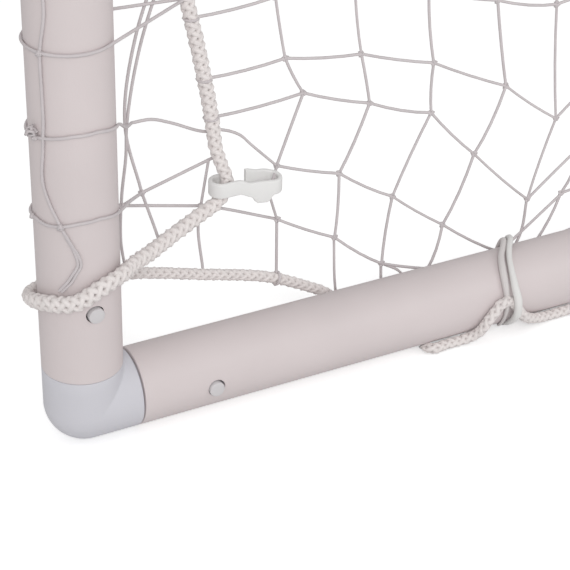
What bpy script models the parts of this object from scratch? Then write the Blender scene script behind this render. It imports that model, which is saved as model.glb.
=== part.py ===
"""Folding soccer goal: posts and crossbar of plastic tube, two ground bars that fold in, and the net."""

import math

import bmesh
import bpy
from mathutils import Matrix, Vector

# The mouth and the depth, in metres. The origin is the middle of the footprint on the ground,
# +X is to the right seen from the front, +Y runs to the rear and +Z is up.
MOUTH_WIDTH = 1.83
MOUTH_HEIGHT = 1.22
SIDE_DEPTH = 0.90  # post axis to the open end of a ground bar

# Tube
TUBE_R = 0.03015
TUBE_WALL = 0.0039
TUBE_SIDES = 24
GAP = 0.0003  # air between pieces that touch

# Elbow, its spigots and the bent leaf spring in each spigot
POST_SEAM = 0.0325  # corner to a post's end
BAR_SEAM = 0.0361  # corner to the end of a ground bar or the crossbar
ELBOW_TURNS = 4
SPIGOT_LENGTH = 0.075
SPIGOT_WALL = 0.004
SPRING_WIDTH = 0.010
SPRING_THICK = 0.001
SPRING_PAST_BUTTON = 0.008
SPRING_STRAIGHT = 0.030
SPRING_BENDS = 5

# Snap button
BUTTON_R = 0.0066
BUTTON_SIDES = 12
POST_BUTTON_AT = 0.0912  # corner to the axis of a button in a post
BAR_BUTTON_AT = 0.0950  # and of one in a ground bar or the crossbar
BUTTON_PROUD = 0.0028
BUTTON_CROWN = 0.0009

# End cap
CAP_FLANGE = 0.005
CAP_PLUG = 0.020
CAP_WALL = 0.003

# Ropes, twine, ties and net clips
ROPE_R = 0.0045
ROPE_STEP = 0.016
CAP_TURN = 0.005  # bend of a ground rope behind the end cap
TWINE = 0.0024  # width of a CAD twine
SHEET = 0.0020  # thickness of a net
SEAM = 0.0030  # room between a side net and the back net
SIDE_NET_ROWS = 7
BACK_NET_COLUMNS = 13
BACK_NET_ROWS = 9
SIDE_NET_FRONT = 0.036  # post axis to a side net's front twine
SIDE_NET_FOOT = 0.036  # bar axis to its lowest twine
BACK_NET_HEAD = 0.034  # where the back net touches the crossbar to its top twine
SIDE_NET_UNDER_CROSSBAR = 0.005
TIE_WIDTH = 0.012
TIE_THICK = 0.0022
TIE_SLACK = 0.0012  # extra room for the rope's slope under a tie
TIE_OPEN = math.radians(27)  # half of what is pressed flat under a ground bar
CLIP_THICK = 0.0030
CLIP_TALL = 0.0120
CLIP_BOW = 0.0079  # radius of a bow's middle line
CLIP_SPAN = 0.0399  # between the centres of its two bows
CLIP_FREE_ARM = 0.0165  # from the second bow's centre to the free end

# What follows from them
FLAT = math.cos(math.pi / TUBE_SIDES)
BORE_R = TUBE_R - TUBE_WALL
SPIGOT_R = BORE_R * FLAT - GAP
SPIGOT_BORE = SPIGOT_R - SPIGOT_WALL
SPRING_REACH = math.sqrt((SPIGOT_BORE * FLAT - GAP) ** 2 - (SPRING_WIDTH / 2) ** 2)
POST_X = MOUTH_WIDTH / 2 + TUBE_R * FLAT
CORNER_Z = TUBE_R * FLAT
CROSSBAR_Z = MOUTH_HEIGHT + TUBE_R * FLAT
BESIDE = TUBE_R + GAP + ROPE_R  # tube axis to the axis of a rope that touches it
ROPE_SAG = ROPE_STEP**2 / (8 * BESIDE)  # what the straight steps of a rope cut off round a post
REAR_ROPE = SIDE_DEPTH + CAP_FLANGE + GAP + ROPE_R  # post axis to the hem rope's axis
POST_Y = (BESIDE + ROPE_SAG - REAR_ROPE) / 2
HEM_Z = 0.0050

# Routes of the ropes at one bottom corner: outward, rearward and up from the elbow's centre
ON_GROUND = HEM_Z - CORNER_Z
TIES_ON_A_POST = (0.508, 0.893)  # shares of the mouth's height
DOWN_THE_POST = [  # outward, rearward, share of the mouth's height
    (-0.0248, 0.0248, 0.934), (-0.0248, 0.0248, 0.893), (-0.0250, 0.0280, 0.844),
    (-0.0252, 0.0360, 0.762), (-0.0250, 0.0350, 0.648), (-0.0248, 0.0248, 0.541),
    (-0.0248, 0.0248, 0.508), (-0.0250, 0.0330, 0.459), (-0.0250, 0.0570, 0.369), (-0.0248, 0.0850, 0.279),
]
CLIP_HEIGHT = 0.141  # where the rope passes through it
THROUGH_THE_CLIP = [  # outward, rearward, height above the clip
    (-0.0245, 0.1060, 0.1090), (-0.0240, 0.1171, 0.0510), (-0.0195, 0.1250, 0.0190),
    (-0.0186, 0.1252, 0.0020), (-0.0180, 0.1200, -0.0100), (-0.0130, 0.1020, -0.0158),
]
TO_THE_POST = [  # outward, rearward, height above the button
    (-0.0020, 0.0723, 0.0279), (0.0060, 0.0560, 0.0258), (0.0190, 0.0340, 0.0263),
]
ROUND_THE_POST = [  # azimuth in degrees from straight out, height above the button, distance past BESIDE
    (35, 0.0278, 0.0006), (3, 0.0245, 0.0), (-26, 0.0150, 0.0), (-57, 0.0117, 0.0), (-84, 0.0067, 0.0),
    (-109, 0.0002, 0.0), (-135, -0.0042, 0.0008), (-160, -0.0077, 0.0018), (-180, -0.0097, 0.0025),
]
DOWN_TO_THE_GROUND = [
    (-0.0375, 0.0300, 0.0775), (-0.0375, 0.0632, 0.0720), (-0.0375, 0.1128, 0.0579),
    (-0.0375, 0.1731, 0.0390), (-0.0375, 0.2091, 0.0191), (-0.0375, 0.2230, 0.0106),
    (-0.0372, 0.2340, 0.0000), (-0.0330, 0.2480, -0.0130), (-0.0270, 0.2620, -0.0230),
    (-0.0243, 0.2780, ON_GROUND),
]
OUTSIDE_THE_BAR = [
    (0.0243, 0.2870, ON_GROUND), (0.0246, 0.3030, ON_GROUND), (0.0262, 0.3180, -0.0240),
    (0.0310, 0.3330, -0.0165), (0.0352, 0.3470, -0.0030), (0.0352, 0.3560, 0.0005),
    (0.0352, 0.3640, 0.0000), (0.0352, 0.3730, -0.0040), (0.0310, 0.3880, -0.0165),
    (0.0262, 0.4050, -0.0240), (0.0246, 0.4250, ON_GROUND), (0.0246, 0.5200, ON_GROUND),
    (0.0246, 0.6200, ON_GROUND), (0.0246, 0.7100, ON_GROUND), (0.0262, 0.7280, -0.0240),
    (0.0310, 0.7430, -0.0165), (0.0352, 0.7580, -0.0030), (0.0352, 0.7660, 0.0000),
    (0.0352, 0.7740, 0.0000), (0.0352, 0.7830, -0.0040), (0.0310, 0.7980, -0.0165),
    (0.0262, 0.8150, -0.0240), (0.0246, 0.8350, ON_GROUND), (0.0244, 0.8900, ON_GROUND),
]
TIES_ON_A_BAR = (0.362, 0.770)
TIES_ON_THE_CROSSBAR = (-0.328, 0.0, 0.328)  # shares of the mouth's width
HEAD_ROPE_LEVEL = (0.0, 0.164, 0.30)  # shares of the mouth's width at which the head rope runs level
HEAD_ROPE_ANGLE = math.radians(-10)  # from straight back, about the crossbar
HEAD_ROPE_END_ANGLE = math.radians(-34)  # below the buttons
HEAD_ROPE_DIP = 0.08  # length over which it gets there
HEAD_ROPE_STEPS = 6
CLIP_EYE = (-0.0186, 0.1251)  # outward and rearward of the rope in the clip
CLIP_BEFORE_ROPE = 0.0032  # from the first bow's centre to the rope
CLIP_HOOK = math.radians(210)  # how far the first bow goes round
CLIP_SLOPE = 0.22  # its drop to the rear
CLIP_STEPS = 8


def clear_scene():
    for obj in list(bpy.data.objects):
        bpy.data.objects.remove(obj, do_unlink=True)


def make_material(name, colour, roughness, metallic=0.0):
    material = bpy.data.materials.new(name)
    material.use_nodes = True
    shader = material.node_tree.nodes["Principled BSDF"]
    shader.inputs["Base Color"].default_value = (*colour, 1.0)
    shader.inputs["Roughness"].default_value = roughness
    shader.inputs["Metallic"].default_value = metallic
    return material


def add_object(name, data, material, at=(0, 0, 0), turn=None, parent=None):
    obj = bpy.data.objects.new(name, data)
    bpy.context.collection.objects.link(obj)
    data.materials.append(material)
    obj.parent = parent
    place = Matrix.Translation(Vector(at) - (parent.location if parent else Vector()))
    obj.matrix_basis = place @ (turn.to_4x4() if turn else Matrix())
    return obj


def finish_mesh(name, bm, smooth_under=35):
    bmesh.ops.remove_doubles(bm, verts=bm.verts, dist=1e-6)
    bmesh.ops.recalc_face_normals(bm, faces=bm.faces)
    mesh = bpy.data.meshes.new(name)
    bm.to_mesh(mesh)
    bm.free()
    mesh.shade_smooth()
    mesh.set_sharp_from_angle(angle=math.radians(smooth_under))
    return mesh


def joint_empty(name, at):
    empty = bpy.data.objects.new(name, None)
    bpy.context.collection.objects.link(empty)
    empty.location = at
    bpy.context.view_layer.update()
    return empty


def angles(sides):
    """Corners of a regular section that has a flat straight down, out and up."""
    return [(i + 0.5) * 2 * math.pi / sides for i in range(sides)]


def skin_rings(bm, rings, closed):
    """Faces between neighbouring rings, and a lid on each end unless the rings close on themselves."""
    loops = [[bm.verts.new(point) for point in ring] for ring in rings]
    pairs = list(zip(loops, loops[1:]))
    if closed:
        pairs.append((loops[-1], loops[0]))
    for first, second in pairs:
        count = len(first)
        for i in range(count):
            j = (i + 1) % count
            bm.faces.new((first[i], first[j], second[j], second[i]))
    if not closed:
        bm.faces.new(loops[0])
        bm.faces.new(loops[-1])


def turned_mesh(name, profile, sides, closed):
    """A profile of (radius, height) pairs turned about Z."""
    bm = bmesh.new()
    rings = []
    for radius, height in profile:
        rings.append([(radius * math.cos(a), radius * math.sin(a), height) for a in angles(sides)])
    skin_rings(bm, rings, closed)
    return finish_mesh(name, bm)


def tube_mesh(name, length):
    """An open tube along Z from 0 to its length."""
    profile = [(TUBE_R, 0), (TUBE_R, length), (BORE_R, length), (BORE_R, 0)]
    return turned_mesh(name, profile, TUBE_SIDES, True)


def elbow_rings(radius, steps):
    """Rings round the corner from the leg along +Z to the leg along +Y: a mitre inside and a ball outside."""
    rings = []
    for k in range(steps + 1):
        turn = math.pi / 2 * k / steps
        ring = []
        for a in angles(TUBE_SIDES):
            x = radius * math.cos(a)
            out = radius * math.sin(a)
            if out < 0:
                ring.append((x, -out, -out))
            else:
                ring.append((x, -out * math.cos(turn), -out * math.sin(turn)))
        rings.append(ring)
    return rings


def leg_ring(radius, distance, leg):
    """A ring across a leg at a distance from the corner: the leg runs along Z or along Y."""
    ring = []
    for a in angles(TUBE_SIDES):
        x = radius * math.cos(a)
        out = radius * math.sin(a)
        ring.append((x, -out, distance) if leg == "Z" else (x, distance, -out))
    return ring


def elbow_mesh(name):
    """A hollow elbow with a post's leg along +Z and a bar's along +Y, and a spigot past each seam."""
    post_tip = POST_SEAM + SPIGOT_LENGTH
    bar_tip = BAR_SEAM + SPIGOT_LENGTH
    rings = [leg_ring(SPIGOT_R, post_tip, "Z"), leg_ring(SPIGOT_R, POST_SEAM, "Z")]
    rings.append(leg_ring(TUBE_R, POST_SEAM, "Z"))
    rings += elbow_rings(TUBE_R, ELBOW_TURNS)
    rings.append(leg_ring(TUBE_R, BAR_SEAM, "Y"))
    rings += [leg_ring(SPIGOT_R, BAR_SEAM, "Y"), leg_ring(SPIGOT_R, bar_tip, "Y")]
    rings.append(leg_ring(SPIGOT_BORE, bar_tip, "Y"))
    rings += reversed(elbow_rings(SPIGOT_BORE, ELBOW_TURNS // 2))
    rings.append(leg_ring(SPIGOT_BORE, post_tip, "Z"))
    bm = bmesh.new()
    skin_rings(bm, rings, True)
    return finish_mesh(name, bm)


def drill(obj, starts):
    """Button holes through one wall: each start is a (point on the tube's axis, direction outwards) pair."""
    hole_r = (BUTTON_R + GAP) / math.cos(math.pi / BUTTON_SIDES)
    bm = bmesh.new()
    for point, outward in starts:
        turn = Vector(outward).to_track_quat("Z", "Y").to_matrix().to_4x4()
        depth = TUBE_R - SPIGOT_BORE / 2 + BUTTON_PROUD
        middle = Vector(point) + Vector(outward) * (SPIGOT_BORE / 2 + depth / 2)
        bmesh.ops.create_cone(
            bm, cap_ends=True, segments=BUTTON_SIDES, radius1=hole_r, radius2=hole_r, depth=depth,
            matrix=Matrix.Translation(middle) @ turn)
    cutter = bpy.data.objects.new(obj.name + "_drill", bpy.data.meshes.new(obj.name + "_drill"))
    bm.to_mesh(cutter.data)
    bm.free()
    bpy.context.collection.objects.link(cutter)
    cutter.parent = obj
    cutter.hide_render = True
    cutter.display_type = "WIRE"
    cut = obj.modifiers.new("button_holes", "BOOLEAN")
    cut.operation = "DIFFERENCE"
    cut.object = cutter


def button_mesh(name, inner_end):
    """A snap button along Z, from its inner end to its crowned top, measured from the tube's axis."""
    top = TUBE_R + BUTTON_PROUD
    profile = [(BUTTON_R, inner_end), (BUTTON_R, top - BUTTON_CROWN),
               (BUTTON_R * 0.86, top - BUTTON_CROWN * 0.35), (BUTTON_R * 0.45, top)]
    return turned_mesh(name, profile, BUTTON_SIDES, False)


def spring_mesh(name):
    """A strip bent into a U that lies in a spigot: out is +Z as for its button, the spigot runs along +X."""
    outer = SPRING_REACH
    inner = SPRING_REACH - SPRING_THICK
    bend_at = -SPRING_STRAIGHT
    rows = [((SPRING_PAST_BUTTON, outer), (SPRING_PAST_BUTTON, inner))]
    for k in range(SPRING_BENDS + 1):
        a = math.pi / 2 + math.pi * k / SPRING_BENDS
        rows.append((
            (bend_at + outer * math.cos(a), outer * math.sin(a)),
            (bend_at + inner * math.cos(a), inner * math.sin(a)),
        ))
    rows.append(((SPRING_PAST_BUTTON, -outer), (SPRING_PAST_BUTTON, -inner)))
    half = SPRING_WIDTH / 2
    bm = bmesh.new()
    rings = [
        [(a[0], -half, a[1]), (a[0], half, a[1]), (b[0], half, b[1]), (b[0], -half, b[1])]
        for a, b in rows
    ]
    skin_rings(bm, rings, False)
    return finish_mesh(name, bm)


def smooth_route(points, spacing):
    """Evenly spaced points on a smooth curve through the route's own points."""
    knots = [Vector(p) for p in points]
    knots = [knots[0] * 2 - knots[1]] + knots + [knots[-1] * 2 - knots[-2]]
    fine = []
    for a, b, c, d in zip(knots, knots[1:], knots[2:], knots[3:]):
        reach = (c - b).length
        before = max((b - a).length, 1e-6)
        after = max((d - c).length, 1e-6)
        out = ((b - a) / before + (c - b) / reach).normalized() * reach
        into = ((c - b) / reach + (d - c) / after).normalized() * reach
        for k in range(12):
            t = k / 12
            fine.append(b * (2 * t**3 - 3 * t**2 + 1) + out * (t**3 - 2 * t**2 + t)
                        + c * (3 * t**2 - 2 * t**3) + into * (t**3 - t**2))
    fine.append(knots[-2])
    steps = [0.0]
    for a, b in zip(fine, fine[1:]):
        steps.append(steps[-1] + (b - a).length)
    count = max(2, round(steps[-1] / spacing))
    even = []
    at = 0
    for k in range(count + 1):
        goal = steps[-1] * k / count
        while at < len(steps) - 2 and steps[at + 1] < goal:
            at += 1
        share = (goal - steps[at]) / max(steps[at + 1] - steps[at], 1e-9)
        even.append(fine[at].lerp(fine[at + 1], min(share, 1.0)))
    return even


def tube_along(name, points, radius, material, parent=None, resolution=2):
    """A round cord: a straight-sided curve with a round section and filled ends."""
    curve = bpy.data.curves.new(name, "CURVE")
    curve.dimensions = "3D"
    curve.bevel_depth = radius
    curve.bevel_resolution = resolution
    curve.use_fill_caps = True
    spline = curve.splines.new("POLY")
    spline.points.add(len(points) - 1)
    base = parent.location if parent else Vector()
    for point, at in zip(spline.points, points):
        point.co = (*(Vector(at) - base), 1.0)
    obj = bpy.data.objects.new(name, curve)
    bpy.context.collection.objects.link(obj)
    curve.materials.append(material)
    obj.parent = parent
    return obj


def tie_mesh(name, rope_towards, open_towards=None):
    """A band round a tube and the rope beside it. The tube's axis is X here, and angles are about it."""
    big = TUBE_R + GAP
    small = ROPE_R + GAP + TIE_SLACK
    spread = math.acos((big - small) / BESIDE)
    start = spread
    end = 2 * math.pi - spread
    outline = []
    for k in range(13):
        a = start + (end - start) * k / 12
        outline.append((a, big, 0.0))
    for k in range(4):
        a = -spread + 2 * spread * k / 3
        outline.append((a, small, BESIDE))
    corners = []
    for a, radius, shift in outline:
        grown = 1 / math.cos(math.pi / 24 * (2 if shift == 0 else 3))
        inner = radius * grown
        outer = inner + TIE_THICK
        corners.append(((shift + inner * math.cos(a), inner * math.sin(a)),
                        (shift + outer * math.cos(a), outer * math.sin(a)), a, shift))
    if open_towards is not None:
        gap_at = (open_towards - rope_towards) % (2 * math.pi)
        kept = []
        for c in corners:
            from_gap = abs((c[2] - gap_at + math.pi) % (2 * math.pi) - math.pi)
            if c[3] > 0 or from_gap > TIE_OPEN:
                kept.append(c)
        after = next(i for i, c in enumerate(kept) if c[3] == 0 and c[2] > gap_at)
        corners = kept[after:] + kept[:after]
    cos_r = math.cos(rope_towards)
    sin_r = math.sin(rope_towards)
    half = TIE_WIDTH / 2
    rings = []
    for inner, outer, _, _ in corners:
        turned = [(p[0] * cos_r - p[1] * sin_r, p[0] * sin_r + p[1] * cos_r) for p in (inner, outer)]
        rings.append([(-half, *turned[0]), (half, *turned[0]), (half, *turned[1]), (-half, *turned[1])])
    bm = bmesh.new()
    skin_rings(bm, rings, open_towards is None)
    return finish_mesh(name, bm, 60)


def net_mesh(name, columns, rows, place, cut=None):
    """A flat net: a grid whose cells are opened to leave the twines, with a thickness. place maps the grid's
    column and row numbers to the plane of the sheet; cut keeps only the cells on one side of a line."""
    bm = bmesh.new()
    bmesh.ops.create_grid(bm, x_segments=columns, y_segments=rows, size=1.0)
    for vert in bm.verts:
        vert.co = (*place((vert.co.x + 1) / 2 * columns, (vert.co.y + 1) / 2 * rows), 0.0)
    if cut:
        point, away = cut
        bmesh.ops.bisect_plane(
            bm, geom=bm.verts[:] + bm.edges[:] + bm.faces[:], dist=1e-5, plane_co=point, plane_no=away,
            clear_outer=True)
    cells = bm.faces[:]
    bmesh.ops.recalc_face_normals(bm, faces=cells)
    bmesh.ops.inset_individual(bm, faces=cells, thickness=TWINE / 2, use_even_offset=True)
    bmesh.ops.delete(bm, geom=cells, context="FACES_ONLY")
    mesh = bpy.data.meshes.new(name)
    bm.to_mesh(mesh)
    bm.free()
    return mesh


def add_net(name, mesh, material, matrix, parent=None):
    net = bpy.data.objects.new(name, mesh)
    bpy.context.collection.objects.link(net)
    mesh.materials.append(material)
    net.parent = parent
    shift = Matrix.Translation(-parent.location) if parent else Matrix()
    net.matrix_basis = shift @ matrix
    thick = net.modifiers.new("thickness", "SOLIDIFY")
    thick.thickness = SHEET
    thick.offset = 0.0
    return net


clear_scene()
TUBE_WHITE = make_material("tube_white", (0.69, 0.60, 0.58), 0.45)
ELBOW_WHITE = make_material("elbow_white", (0.66, 0.66, 0.70), 0.38)
BUTTON_WHITE = make_material("button_white", (0.72, 0.68, 0.67), 0.35)
CLIP_WHITE = make_material("clip_white", (0.74, 0.73, 0.72), 0.40)
ROPE_WHITE = make_material("rope_white", (0.68, 0.64, 0.63), 0.85)
TWINE_WHITE = make_material("twine_white", (0.62, 0.60, 0.59), 0.80)
SPRING_STEEL = make_material("spring_steel", (0.55, 0.56, 0.58), 0.30, 1.0)

# Axes of the fold: each empty stands on a post's axis at the ground
SIDES = {"left": -1, "right": 1}
FOLDS = {side: joint_empty(side + "_fold_axis", (sign * POST_X, POST_Y, 0)) for side, sign in SIDES.items()}
POST_LENGTH = CROSSBAR_Z - CORNER_Z - 2 * (POST_SEAM + GAP)
BAR_LENGTH = SIDE_DEPTH - BAR_SEAM - GAP
CROSSBAR_LENGTH = 2 * (POST_X - BAR_SEAM - GAP)


def corner(sign, outward=0.0, rearward=0.0, up=0.0):
    """A point given from a bottom elbow's centre."""
    return Vector((sign * (POST_X + outward), POST_Y + rearward, CORNER_Z + up))


def add_tubes():
    post_hole = POST_BUTTON_AT - POST_SEAM - GAP  # from a post's end
    bar_hole = BAR_BUTTON_AT - BAR_SEAM - GAP
    for side, sign in SIDES.items():
        post = add_object(side + "_post", tube_mesh(side + "_post", POST_LENGTH), TUBE_WHITE,
                          corner(sign, up=POST_SEAM + GAP))
        drill(post, [((0, 0, post_hole), (sign, 0, 0)), ((0, 0, POST_LENGTH - post_hole), (0, 1, 0))])
        along_y = Matrix.Rotation(-math.pi / 2, 3, "X")
        bar = add_object(side + "_side_bar", tube_mesh(side + "_side_bar", BAR_LENGTH), TUBE_WHITE,
                         corner(sign, rearward=BAR_SEAM + GAP), along_y, FOLDS[side])
        drill(bar, [((0, 0, bar_hole), (sign, 0, 0))])
    along_x = Matrix.Rotation(math.pi / 2, 3, "Y")
    crossbar = add_object("crossbar", tube_mesh("crossbar", CROSSBAR_LENGTH), TUBE_WHITE,
                          (-CROSSBAR_LENGTH / 2, POST_Y, CROSSBAR_Z), along_x)
    drill(crossbar, [((0, 0, bar_hole), (0, 1, 0)), ((0, 0, CROSSBAR_LENGTH - bar_hole), (0, 1, 0))])


def add_elbows():
    for side, sign in SIDES.items():
        low = add_object(side + "_bottom_elbow", elbow_mesh(side + "_bottom_elbow"), ELBOW_WHITE,
                         corner(sign), None, FOLDS[side])
        # The second hole in the upright spigot lines up with the post's button when the bar is folded
        drill(low, [((0, 0, POST_BUTTON_AT), (sign, 0, 0)), ((0, 0, POST_BUTTON_AT), (0, -1, 0)),
                    ((0, BAR_BUTTON_AT, 0), (sign, 0, 0))])
        # The +Y leg turns to run inwards and the +Z leg to run down
        turn = Matrix(((0, -sign, 0), (-sign, 0, 0), (0, 0, -1)))
        top = add_object(side + "_top_elbow", elbow_mesh(side + "_top_elbow"), ELBOW_WHITE,
                         (sign * POST_X, POST_Y, CROSSBAR_Z), turn)
        drill(top, [((0, 0, POST_BUTTON_AT), (-sign, 0, 0)), ((0, BAR_BUTTON_AT, 0), (-sign, 0, 0))])


def add_button_and_spring(name, corner_at, leg, distance, outward, parent, turns_in_post=False):
    """A button in its hole, at a distance from the corner along a leg, and the spring under it."""
    leg = Vector(leg)
    outward = Vector(outward)
    turn = Matrix((leg, outward.cross(leg), outward)).transposed()
    at = Vector(corner_at) + leg * distance
    inner_end = SPIGOT_R + GAP if turns_in_post else SPRING_REACH + GAP
    add_object(name + "_button", button_mesh(name + "_button", inner_end), BUTTON_WHITE, at, turn,
               None if turns_in_post else parent)
    add_object(name + "_spring", spring_mesh(name + "_spring"), SPRING_STEEL, at, turn, parent)


def add_buttons():
    for side, sign in SIDES.items():
        low = corner(sign)
        high = Vector((sign * POST_X, POST_Y, CROSSBAR_Z))
        fold = FOLDS[side]
        add_button_and_spring(side + "_post_foot", low, (0, 0, 1), POST_BUTTON_AT, (sign, 0, 0), fold, True)
        add_button_and_spring(side + "_bar", low, (0, 1, 0), BAR_BUTTON_AT, (sign, 0, 0), fold)
        add_button_and_spring(side + "_post_head", high, (0, 0, -1), POST_BUTTON_AT, (0, 1, 0), None)
        add_button_and_spring(side + "_crossbar", high, (-sign, 0, 0), BAR_BUTTON_AT, (0, 1, 0), None)


def add_end_caps():
    plug_r = BORE_R * FLAT - GAP
    profile = [(TUBE_R, CAP_FLANGE), (TUBE_R, GAP), (plug_r, GAP), (plug_r, -CAP_PLUG),
               (plug_r - CAP_WALL, -CAP_PLUG), (plug_r - CAP_WALL, GAP)]
    along_y = Matrix.Rotation(-math.pi / 2, 3, "X")
    for side, sign in SIDES.items():
        name = side + "_end_cap"
        add_object(name, turned_mesh(name, profile, TUBE_SIDES, False), ELBOW_WHITE,
                   corner(sign, rearward=SIDE_DEPTH), along_y, FOLDS[side])


# The back net's plane touches the crossbar's rear and runs down to just above the hem rope
HEM_Y = POST_Y + REAR_ROPE
NET_FOOT = Vector((HEM_Y, HEM_Z + ROPE_R + 3 * GAP))  # y and z
CROSSBAR_CENTRE = Vector((POST_Y, CROSSBAR_Z))
TO_CROSSBAR = CROSSBAR_CENTRE - NET_FOOT
NET_OFF_AXIS = TUBE_R + GAP + SHEET / 2
NET_RISE = math.atan2(TO_CROSSBAR.y, TO_CROSSBAR.x) - math.asin(NET_OFF_AXIS / TO_CROSSBAR.length)
NET_UP = Vector((math.cos(NET_RISE), math.sin(NET_RISE)))  # up the slope, in y and z
NET_LENGTH = math.sqrt(TO_CROSSBAR.length**2 - NET_OFF_AXIS**2)
SIDE_NET_OUT = -(TUBE_R + GAP + SHEET / 2)  # outward from the post's axis
BACK_NET_HALF = POST_X + SIDE_NET_OUT - SHEET / 2 - GAP


def back_net_y(height):
    """Where the back net's plane is at a height."""
    return NET_FOOT.x + (height - NET_FOOT.y) * NET_UP.x / NET_UP.y


def add_nets():
    foot = CORNER_Z + SIDE_NET_FOOT
    top = CROSSBAR_Z - TUBE_R - SIDE_NET_UNDER_CROSSBAR
    seam_y = SEAM / NET_UP.y
    rear = back_net_y(foot) - seam_y
    row = (top - foot) / SIDE_NET_ROWS
    column = -row * NET_UP.x / NET_UP.y
    front = POST_Y + SIDE_NET_FRONT
    columns = math.ceil((rear - front) / column)

    def side_place(i, j):
        return (front if i < 0.5 else rear - (columns - i) * column, foot + j * row)

    for side, sign in SIDES.items():
        # Sheet coordinates are rearward and up, so the plane is turned to stand on the bar's inner side
        cut = (Vector((rear, foot, 0)), Vector((NET_UP.y, -NET_UP.x, 0)))
        mesh = net_mesh(side + "_side_net", columns, SIDE_NET_ROWS, side_place, cut)
        plane_x = sign * (POST_X + SIDE_NET_OUT)
        upright = Matrix(((0, 0, 1, plane_x), (1, 0, 0, 0), (0, 1, 0, 0), (0, 0, 0, 1)))
        add_net(side + "_side_net", mesh, TWINE_WHITE, upright, FOLDS[side])

    def back_place(i, j):
        across = (i / BACK_NET_COLUMNS * 2 - 1) * BACK_NET_HALF
        return (across, j / BACK_NET_ROWS * (NET_LENGTH - BACK_NET_HEAD))

    sloped = Matrix((
        (1, 0, 0, 0),
        (0, NET_UP.x, -NET_UP.y, NET_FOOT.x),
        (0, NET_UP.y, NET_UP.x, NET_FOOT.y),
        (0, 0, 0, 1),
    ))
    mesh = net_mesh("back_net", BACK_NET_COLUMNS, BACK_NET_ROWS, back_place)
    add_net("back_net", mesh, TWINE_WHITE, sloped)


def add_ropes():
    post_loop = []
    for azimuth, height, extra in ROUND_THE_POST:
        a = math.radians(azimuth)
        radius = BESIDE + ROPE_SAG + extra
        post_loop.append((radius * math.cos(a), radius * math.sin(a), POST_BUTTON_AT + height))
    border = [(out, back, share * MOUTH_HEIGHT) for out, back, share in DOWN_THE_POST]
    border += [(out, back, CLIP_HEIGHT + up) for out, back, up in THROUGH_THE_CLIP]
    border += [(out, back, POST_BUTTON_AT + up) for out, back, up in TO_THE_POST]
    border += post_loop + DOWN_TO_THE_GROUND
    beside_the_cap, _, down = OUTSIDE_THE_BAR[-1]
    behind_the_cap = []
    for k in range(5):
        a = math.pi / 2 * k / 4
        behind_the_cap.append((beside_the_cap - CAP_TURN + CAP_TURN * math.cos(a),
                               REAR_ROPE - CAP_TURN + CAP_TURN * math.sin(a), down))
    behind_the_cap.append((0.0, REAR_ROPE, down))
    border_line = smooth_route(border, ROPE_STEP)
    ground_line = smooth_route(OUTSIDE_THE_BAR, ROPE_STEP) + behind_the_cap
    for side, sign in SIDES.items():
        for name, line in (("_border_rope", border_line), ("_ground_rope", ground_line)):
            points = [corner(sign, *p) for p in line]
            tube_along(side + name, points, ROPE_R, ROPE_WHITE, FOLDS[side])
    reach = POST_X - GAP
    hem = [Vector((reach * (k / 6 - 1), HEM_Y, HEM_Z)) for k in range(13)]
    tube_along("hem_rope", hem, ROPE_R, ROPE_WHITE)
    # The head rope dips on its way past the buttons
    past_button = POST_X - BAR_BUTTON_AT - 3 * BUTTON_R
    half = [(share * MOUTH_WIDTH, 0.0) for share in HEAD_ROPE_LEVEL]
    for k in range(HEAD_ROPE_STEPS + 1):
        down = k / HEAD_ROPE_STEPS
        half.append((past_button - HEAD_ROPE_DIP * (1 - down), down))
    half.append((POST_X - BAR_SEAM, 1.0))
    head = []
    for x, share in [(-x, share) for x, share in reversed(half[1:])] + half:
        a = HEAD_ROPE_ANGLE + (HEAD_ROPE_END_ANGLE - HEAD_ROPE_ANGLE) * share
        head.append(Vector((x, POST_Y + BESIDE * math.cos(a), CROSSBAR_Z + BESIDE * math.sin(a))))
    tube_along("head_rope", head, ROPE_R, ROPE_WHITE)


def add_ties():
    for side, sign in SIDES.items():
        for k, rearward in enumerate(TIES_ON_A_BAR):
            name = f"{side}_bar_tie_{k + 1}"
            # The band's axis, X, turns to run rearwards; its rope is on the outer side and it is open below
            turn = Matrix(((0, sign, 0), (sign, 0, 0), (0, 0, -1)))
            mesh = tie_mesh(name, 0.0, math.pi / 2)
            add_object(name, mesh, CLIP_WHITE, corner(sign, rearward=rearward), turn, FOLDS[side])
        for k, share in enumerate(TIES_ON_A_POST):
            name = f"{side}_post_tie_{k + 1}"
            turn = Matrix(((0, -sign, 0), (0, 0, 1), (-sign, 0, 0)))
            mesh = tie_mesh(name, math.radians(45))
            add_object(name, mesh, CLIP_WHITE, corner(sign, up=share * MOUTH_HEIGHT), turn, FOLDS[side])
    for k, share in enumerate(TIES_ON_THE_CROSSBAR):
        name = f"crossbar_tie_{k + 1}"
        at = (share * MOUTH_WIDTH, POST_Y, CROSSBAR_Z)
        add_object(name, tie_mesh(name, HEAD_ROPE_ANGLE), CLIP_WHITE, at)


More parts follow.
